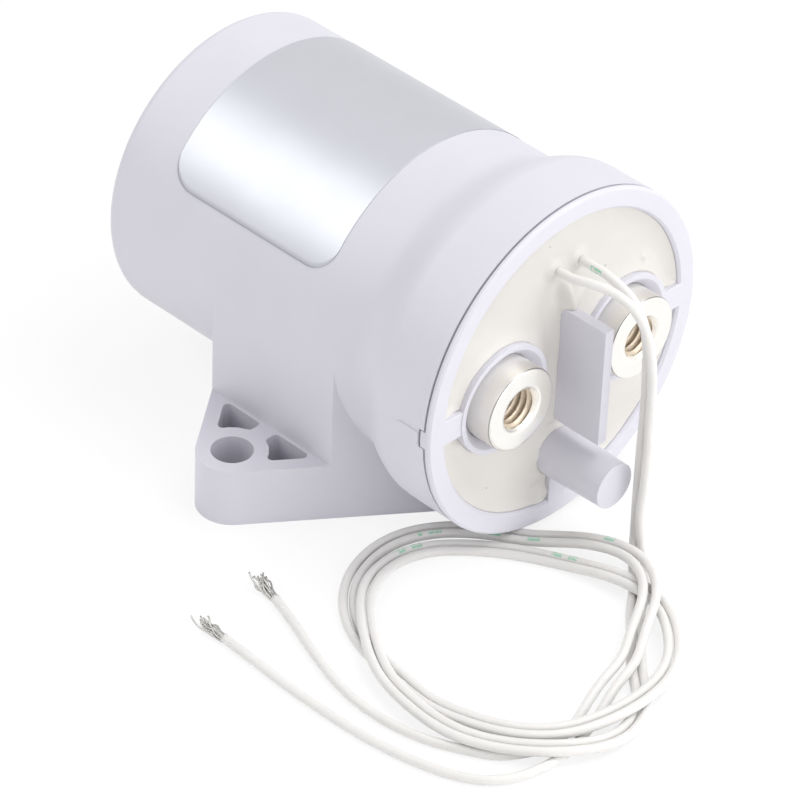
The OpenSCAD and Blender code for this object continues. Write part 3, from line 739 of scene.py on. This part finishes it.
def bare_strands(name, end, direction, length, count, radius, seed):
    """Loosely twisted strands: each starts on a sunflower disc in the lead, leans out, winds round the others and
    waves to its tip; the outermost one strays."""
    chance = np.random.default_rng(seed)
    order = np.arange(count)
    ring = STRAND_FILL * radius * np.sqrt((order + 0.5) / count)
    spread = ring / radius * chance.uniform(*STRAND_LEAN, count)
    spread[-1] = STRAY_LEAN
    reach = length * chance.uniform(*STRAND_REACH, count)
    wave = chance.uniform(*STRAND_WAVE, (count, 2)) * MM
    phase = chance.uniform(0, 2 * np.pi, (count, 2))
    t = np.linspace(0, 1, STRAND_ROWS)[None, :]
    turn = order[:, None] * GOLDEN_TURN + STRAND_TWIST * t
    out = ring[:, None] + reach[:, None] * spread[:, None] * t ** LEAN_POWER
    flat = out * np.cos(turn) + wave[:, :1] * t * np.sin(WAVES_FLAT * t + phase[:, :1])
    rise = out * np.sin(turn) + wave[:, 1:] * t * np.sin(WAVES_UP * t + phase[:, 1:])
    ahead = reach[:, None] * t - STRAND_START
    side = np.array([-direction[1], direction[0], 0.0])
    centre = end + ahead[..., None] * direction + flat[..., None] * side
    centre[..., 2] = np.maximum(centre[..., 2] + rise, STRAND_RADIUS)
    along = np.gradient(centre, axis=1)
    along /= np.linalg.norm(along, axis=-1, keepdims=True)
    across = np.cross(along, np.array(STRAND_ASIDE))
    across /= np.linalg.norm(across, axis=-1, keepdims=True)
    over = np.cross(along, across)
    a = np.linspace(0, 2 * np.pi, STRAND_SIDES, endpoint=False)[:, None]
    rings = centre[:, :, None] + STRAND_RADIUS * (np.cos(a) * across[:, :, None] + np.sin(a) * over[:, :, None])
    shape = rings.shape[:3]
    index = np.arange(np.prod(shape)).reshape(shape)
    index = np.concatenate([index, index[:, :, :1]], axis=2)
    quads = np.stack(
        [index[:, :-1, :-1], index[:, :-1, 1:], index[:, 1:, 1:], index[:, 1:, :-1]], axis=-1).reshape(-1, 4)
    tips = np.concatenate([index[:, 0, :-1][:, ::-1], index[:, -1, :-1]])
    mesh = bpy.data.meshes.new(name)
    mesh.from_pydata(rings.reshape(-1, 3).tolist(), [], quads.tolist() + tips.tolist())
    return stand(name, mesh)


def plastic_finish(looks):
    """Moulded plastic: fine matt grain, slight cloudiness and a soft gloss."""
    finish = Finish("moulded_plastic", IOR=1.5, Specular_IOR_Level=0.45)
    cloud = finish.noise(size=9 * MM, detail=3.0)
    grain = finish.noise(size=0.16 * MM, detail=3.0)
    return finish.feed(
        Base_Color=finish.vary(cloud, looks.colour, low=0.97, high=1.03), Roughness=0.36 + 0.14 * grain,
        Normal=finish.bump(grain, distance=0.006 * MM))


def resin_finish(looks):
    """Potting: warm off-white, slightly cloudy, with a few tiny dark specks and a soft gloss."""
    finish = Finish("potting_resin", IOR=1.5, Coat_Roughness=0.2)
    cloud = finish.noise(size=6 * MM, detail=3.0)
    warm = finish.vary(cloud, looks.colour, low=1.03, high=0.96)
    speck_apart, speck_size, speck_strength = 3.4 * MM, 0.04, 0.6
    dirt = colour((0.2, 0.18, 0.16))
    speck = finish.node(
        "ShaderNodeTexVoronoi", inputs={"Vector": finish.place(), "Scale": 1 / speck_apart}) < speck_size
    ripple = finish.noise(size=1.4 * MM)
    return finish.feed(
        Base_Color=finish.mix(speck * speck_strength, warm, dirt), Roughness=0.34 + 0.14 * cloud,
        Coat_Weight=0.1 + 0.1 * cloud, Normal=finish.bump(ripple, distance=0.02 * MM))


def plated_finish(looks):
    """Plated turned metal: fine turning marks, duller round the terminal, a film of resin at its root, a painted
    shade line along the rounded edge of its face, and pale brass where the tap has cut, with uneven painted shade
    in the thread's roots."""
    finish = Finish("plated_metal")
    cut = finish.attribute("tapped")
    side = finish.attribute("side")
    stain = finish.noise(size=2.5 * MM)
    face = finish.vary(stain, looks.plating, low=0.98, high=1.02)
    worn = finish.vary(stain, looks.side, low=0.97, high=1.03)
    tone = finish.mix(side, face, worn)
    # Painted shade: a dark line all round the rounded edge of the face, darker than the duller plating.
    line_from, line_to, line_strength, line_shade = 0.3, 0.8, 0.75, 0.25
    painted_edge_shade = (side > line_from) * (side < line_to) * line_strength
    tone = finish.mix(painted_edge_shade, tone, shade(looks.side, line_shade))
    film = side * finish.node("ShaderNodeMapRange", inputs={
        "Value": finish.attribute("behind"), "From Min": looks.film_from, "From Max": looks.film_full})
    tone = finish.mix(film, tone, colour(looks.film))
    # Painted shade in the roots of the tapped thread, made uneven by a streaky noise.
    streak = finish.noise(size=0.5 * MM, stretch=(1.0, 1.6, 1.0))
    groove = finish.attribute("groove") * (0.25 + 0.9 * streak)
    tone = finish.mix(cut, tone, finish.vary(groove, looks.tapped, low=1.05, high=0.25))
    mark_apart = 0.8 * MM
    rings = finish.node("ShaderNodeTexWave", {"wave_type": "BANDS", "bands_direction": "X"}, {
        "Vector": finish.node("ShaderNodeCombineXYZ", inputs={"X": finish.attribute("run")}),
        "Scale": 1 / mark_apart, "Distortion": 0.6, "Detail": 1.0,
    })
    return finish.feed(
        Base_Color=tone, Metallic=1.0 - 0.45 * cut - 0.85 * film,
        Roughness=0.17 + 0.06 * stain + 0.16 * side + 0.2 * cut + 0.15 * film,
        Normal=finish.bump(rings, distance=0.0008 * MM))


def insulation_finish(looks):
    """Waxy, slightly translucent insulation with a few worn dashes along one side."""
    finish = Finish(
        "lead_insulation", IOR=1.4, Specular_IOR_Level=0.4, Subsurface_Weight=0.7, Subsurface_Scale=0.9 * MM,
        Subsurface_Radius=(1.0, 1.0, 0.95))
    run = finish.attribute("along")
    upper = finish.attribute("upper")
    inked = finish.attribute("inked") > 0.5
    dash_apart, dash_length, ink_strength = 2.6 * MM, 1.7 * MM, 0.8
    dash = (run % dash_apart) < dash_length
    worn_below, band_from, band_to = 0.42, 0.72, 0.97
    worn = finish.noise(size=0.35 * MM) > worn_below
    band = (upper > band_from) * (upper < band_to)
    soft = finish.noise(size=3 * MM)
    tone = finish.vary(soft, looks.colour, low=0.97, high=1.03)
    tone = finish.mix(inked * dash * worn * band * ink_strength, tone, colour(looks.mark))
    return finish.feed(
        Base_Color=tone, Roughness=0.27 + 0.1 * soft,
        Normal=finish.bump(finish.noise(size=0.8 * MM), distance=0.01 * MM))


def foil_finish(looks):
    """Brushed foil under a satin film, with fine streaks along the can."""
    finish = Finish("label_foil", Coat_Roughness=0.3)
    streak = finish.noise(size=0.25 * MM, stretch=(1.0, 0.03, 1.0))
    cloud = finish.noise(size=7 * MM)
    return finish.feed(
        Base_Color=finish.vary(cloud, looks.colour, low=0.97, high=1.03), Metallic=0.75 + 0.1 * cloud,
        Roughness=0.37 + 0.08 * streak, Coat_Weight=0.15 + 0.1 * cloud,
        Normal=finish.bump(streak, distance=0.003 * MM))


def metal_finish(name, rgb, rough, size):
    """Bare metal: drawn or turned, with a fine uneven sheen."""
    finish = Finish(name, Metallic=1.0)
    stain = finish.noise(size, detail=3.0)
    fine = finish.noise(size / 6)
    return finish.feed(
        Base_Color=finish.vary(stain, rgb, low=0.9, high=1.08), Roughness=rough + 0.15 * stain,
        Normal=finish.bump(fine, distance=0.004 * MM))


def dull_finish(name, rgb, rough, size):
    """Moulded, pressed or fired material without gloss: grain of its own size."""
    finish = Finish(name, IOR=1.5)
    grain = finish.noise(size, detail=4.0)
    return finish.feed(
        Base_Color=finish.vary(grain, rgb, low=0.88, high=1.1), Roughness=rough + 0.12 * grain,
        Normal=finish.bump(grain, distance=0.02 * MM))


def scene_looks():
    """The settings of the scene."""
    return bpy.context.scene.contactor_looks


class CONTACTOR_OT_leads(bpy.types.Operator):
    """Lays the two coil leads and their bare strands"""
    bl_idname = "contactor.leads"
    bl_label = "Leads"

    def execute(self, context):
        sizes = scene_looks().leads
        radius = sizes.diameter / 2
        insulation = insulation_finish(sizes)
        tinned = metal_finish("tinned_strands", (0.5, 0.49, 0.47), rough=0.32, size=0.6 * MM)
        for name, drop, tail, side, solids, bare, seed, dashes in LEADS:
            line = lead_line(drop, tail, side, sizes.spacing, radius)
            tube = dress(lead_tube(name, line, radius, dashes), insulation)
            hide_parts(*solids)
            ahead = line[-1] - line[-END_POINTS]
            ahead /= np.linalg.norm(ahead)
            tuft = bare_strands(name + "_strands", line[-1], ahead, sizes.bare, sizes.strands, radius, seed)
            dress(tuft, tinned)
            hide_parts(bare)
        return {"FINISHED"}


class CONTACTOR_OT_shell(bpy.types.Operator):
    """Softens the edges of the housing and the front cover"""
    bl_idname = "contactor.shell"
    bl_label = "Shell"

    def execute(self, context):
        shell = scene_looks().shell
        plastic = plastic_finish(shell)
        for node in ("housing", "front_cover"):
            piece = merged_copy(node, node + "_shell", SHELL_SHARP)
            soften(piece, shell.edge, SHELL_SHARP)
            dress(piece, plastic)
            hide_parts(node)
        return {"FINISHED"}


class CONTACTOR_OT_inside(bpy.types.Operator):
    """Finishes the parts that the shell hides"""
    bl_idname = "contactor.inside"
    bl_label = "Inside"

    def execute(self, context):
        finishes = {
            "bright_steel": metal_finish("bright_steel", STEEL, rough=0.25, size=2 * MM),
            "copper_parts": metal_finish("copper_parts", (0.8, 0.42, 0.26), rough=0.28, size=1 * MM),
            "silver_plate": metal_finish("silver_plate", (0.85, 0.84, 0.81), rough=0.25, size=1 * MM),
            "magnet_block": dull_finish("magnet_block", (0.06, 0.06, 0.065), rough=0.55, size=0.3 * MM),
            "chamber_ceramic": dull_finish("chamber_ceramic", (0.6, 0.56, 0.48), rough=0.6, size=0.4 * MM),
            "bobbin_plastic": dull_finish("bobbin_plastic", (0.035, 0.035, 0.04), rough=0.4, size=0.3 * MM),
            "lead_insulation": dull_finish("inner_insulation", (0.8, 0.785, 0.765), rough=0.3, size=0.8 * MM),
        }
        for slot, nodes in INNER_FINISHES.items():
            for node in nodes:
                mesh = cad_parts[node].data
                mesh.materials.clear()
                mesh.materials.append(finishes[slot])
        return {"FINISHED"}


class CONTACTOR_OT_springs(bpy.types.Operator):
    """Copies the two springs and sets each on its body; their shortening as the armature moves is not made here"""
    bl_idname = "contactor.springs"
    bl_label = "Springs"

    def execute(self, context):
        wire = metal_finish("spring_wire", STEEL, rough=0.22, size=0.8 * MM)
        for node, body, fixed, shorter in SPRINGS:
            piece = dress(merged_copy(node, node + "_wire", SPRING_SHARP), wire, body)
            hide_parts(node)
            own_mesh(piece)
        return {"FINISHED"}


class CONTACTOR_OT_resin(bpy.types.Operator):
    """Pours the potting into the cover"""
    bl_idname = "contactor.resin"
    bl_label = "Resin"

    def execute(self, context):
        sizes = scene_looks().resin
        piece = dress(resin_surface(sizes), resin_finish(sizes))
        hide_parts("potting")
        return {"FINISHED"}


class CONTACTOR_OT_terminals(bpy.types.Operator):
    """Turns and taps the two terminals"""
    bl_idname = "contactor.terminals"
    bl_label = "Terminals"

    def execute(self, context):
        sizes = scene_looks().terminals
        plating = plated_finish(sizes)
        for node in ("terminal_left", "terminal_right"):
            low, high = (np.array(corner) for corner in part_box(node))
            piece = dress(terminal_surface(node + "_turned", low, high, sizes), plating)
            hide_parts(node)
        return {"FINISHED"}


class CONTACTOR_OT_label(bpy.types.Operator):
    """Lays the blank foil label on the can"""
    bl_idname = "contactor.label"
    bl_label = "Label"

    def execute(self, context):
        sizes = scene_looks().label
        piece = dress(label_surface(sizes), foil_finish(sizes))
        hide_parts("label")
        return {"FINISHED"}


class CONTACTOR_OT_stage(bpy.types.Operator):
    """Sets the floor, the light and the camera"""
    bl_idname = "contactor.stage"
    bl_label = "Stage"

    def execute(self, context):
        stage = scene_looks().stage
        self.lay_floor(stage)
        self.light_room(stage)
        for name, place, target, size, power in LAMPS:
            self.hang_lamp(name, place, target, size, getattr(stage, power))
        self.set_camera(stage)
        context.scene.view_settings.view_transform = "Standard"
        return {"FINISHED"}

    def lay_floor(self, stage):
        """A flat grid a hair below the object, which glows to rays that show it and still takes shadows."""
        across = np.linspace(-FLOOR_HALF, FLOOR_HALF, FLOOR_POINTS)
        u, v = np.meshgrid(across, across)
        floor = lay_grid("floor", np.stack([u, v, np.full_like(u, -FLOOR_DROP)], axis=-1))
        finish = Finish("floor", Base_Color=colour(stage.floor), Roughness=0.9, Specular_IOR_Level=0.1)
        seen = finish.seen_ray()
        glow = finish.node("ShaderNodeEmission", inputs={"Color": colour(stage.floor), "Strength": 1.0})
        shader = Value(finish, finish.shader.outputs[0])
        mixed = finish.node("ShaderNodeMixShader", inputs={0: seen * FLOOR_GLOW, 1: shader, 2: glow})
        finish.plug(finish.tree.nodes["Material Output"].inputs["Surface"], mixed)
        floor.data.materials.append(finish.material)

    def light_room(self, stage):
        """Even light from all round, which shows itself as white."""
        world = bpy.data.worlds.new("studio")
        bpy.context.scene.world = world
        world.use_nodes = True
        room = Nodes(world.node_tree)
        room.tree.nodes.remove(room.tree.nodes["Background"])
        even = room.node("ShaderNodeBackground", inputs={"Color": WHITE, "Strength": stage.ambient})
        white = room.node("ShaderNodeBackground", inputs={"Color": WHITE, "Strength": 1.0})
        mixed = room.node("ShaderNodeMixShader", inputs={0: room.seen_ray(), 1: even, 2: white})
        room.plug(room.tree.nodes["World Output"].inputs["Surface"], mixed)

    def hang_lamp(self, name, place, target, size, power):
        """A square lamp that faces its target."""
        lamp = bpy.data.lights.new(name, "AREA")
        lamp.size = size
        lamp.energy = power
        holder = bpy.data.objects.new(name, lamp)
        holder.location = place
        holder.rotation_euler = (Vector(target) - Vector(place)).to_track_quat("-Z", "Y").to_euler()
        bpy.context.scene.collection.objects.link(holder)

    def set_camera(self, stage):
        """The camera's back points away from the object at its azimuth and elevation, and roll turns it about its
        own axis."""
        azimuth, elevation, roll = np.radians(CAMERA_ANGLES)
        back = np.array([
            math.sin(azimuth) * math.cos(elevation), -math.cos(azimuth) * math.cos(elevation), math.sin(elevation)])
        right = np.cross(-back, [0, 0, 1])
        right /= np.linalg.norm(right)
        up = np.cross(right, -back)
        turned_right = math.cos(roll) * right + math.sin(roll) * up
        turned_up = -math.sin(roll) * right + math.cos(roll) * up
        turn = Matrix(np.stack([turned_right, turned_up, back], axis=1).tolist())
        data = bpy.data.cameras.new("photo_camera")
        data.lens = stage.lens
        data.sensor_width = SENSOR_WIDTH
        data.clip_end = CAMERA_FAR
        camera = bpy.data.objects.new("photo_camera", data)
        camera.matrix_world = Matrix.Translation(Vector(CAMERA_PLACE)) @ turn.to_4x4()
        bpy.context.scene.collection.objects.link(camera)
        bpy.context.scene.camera = camera


class CONTACTOR_PT_looks(bpy.types.Panel):
    """Lists the contactor's pieces and their settings"""
    bl_idname = "CONTACTOR_PT_looks"
    bl_label = "Contactor"
    bl_space_type = "VIEW_3D"
    bl_region_type = "UI"
    bl_category = "Contactor"

    def draw(self, context):
        for operator in OPERATORS:
            self.layout.operator(operator.bl_idname)
        for group in scene_looks().bl_rna.properties.keys():
            settings = getattr(scene_looks(), group, None)
            if isinstance(settings, bpy.types.PropertyGroup):
                box = self.layout.box()
                box.label(text=group.capitalize())
                for name in settings.__annotations__:
                    box.prop(settings, name)


OPERATORS = (
    CONTACTOR_OT_stage,
    CONTACTOR_OT_leads,
    CONTACTOR_OT_shell,
    CONTACTOR_OT_resin,
    CONTACTOR_OT_terminals,
    CONTACTOR_OT_label,
    CONTACTOR_OT_inside,
    CONTACTOR_OT_springs,
)
CLASSES = (
    ShellLooks, ResinLooks, TerminalLooks, LeadLooks, LabelLooks, StageLooks, ContactorLooks,
    *OPERATORS, CONTACTOR_PT_looks,
)


def register():
    for entry in CLASSES:
        bpy.utils.register_class(entry)
    bpy.types.Scene.contactor_looks = bpy.props.PointerProperty(type=ContactorLooks)


def unregister():
    del bpy.types.Scene.contactor_looks
    for entry in reversed(CLASSES):
        bpy.utils.unregister_class(entry)


def main():
    register()
    bpy.ops.contactor.stage()
    bpy.ops.contactor.leads()
    bpy.ops.contactor.shell()
    bpy.ops.contactor.resin()
    bpy.ops.contactor.terminals()
    bpy.ops.contactor.label()
    bpy.ops.contactor.inside()
    bpy.ops.contactor.springs()


if __name__ == "__main__":
    main()
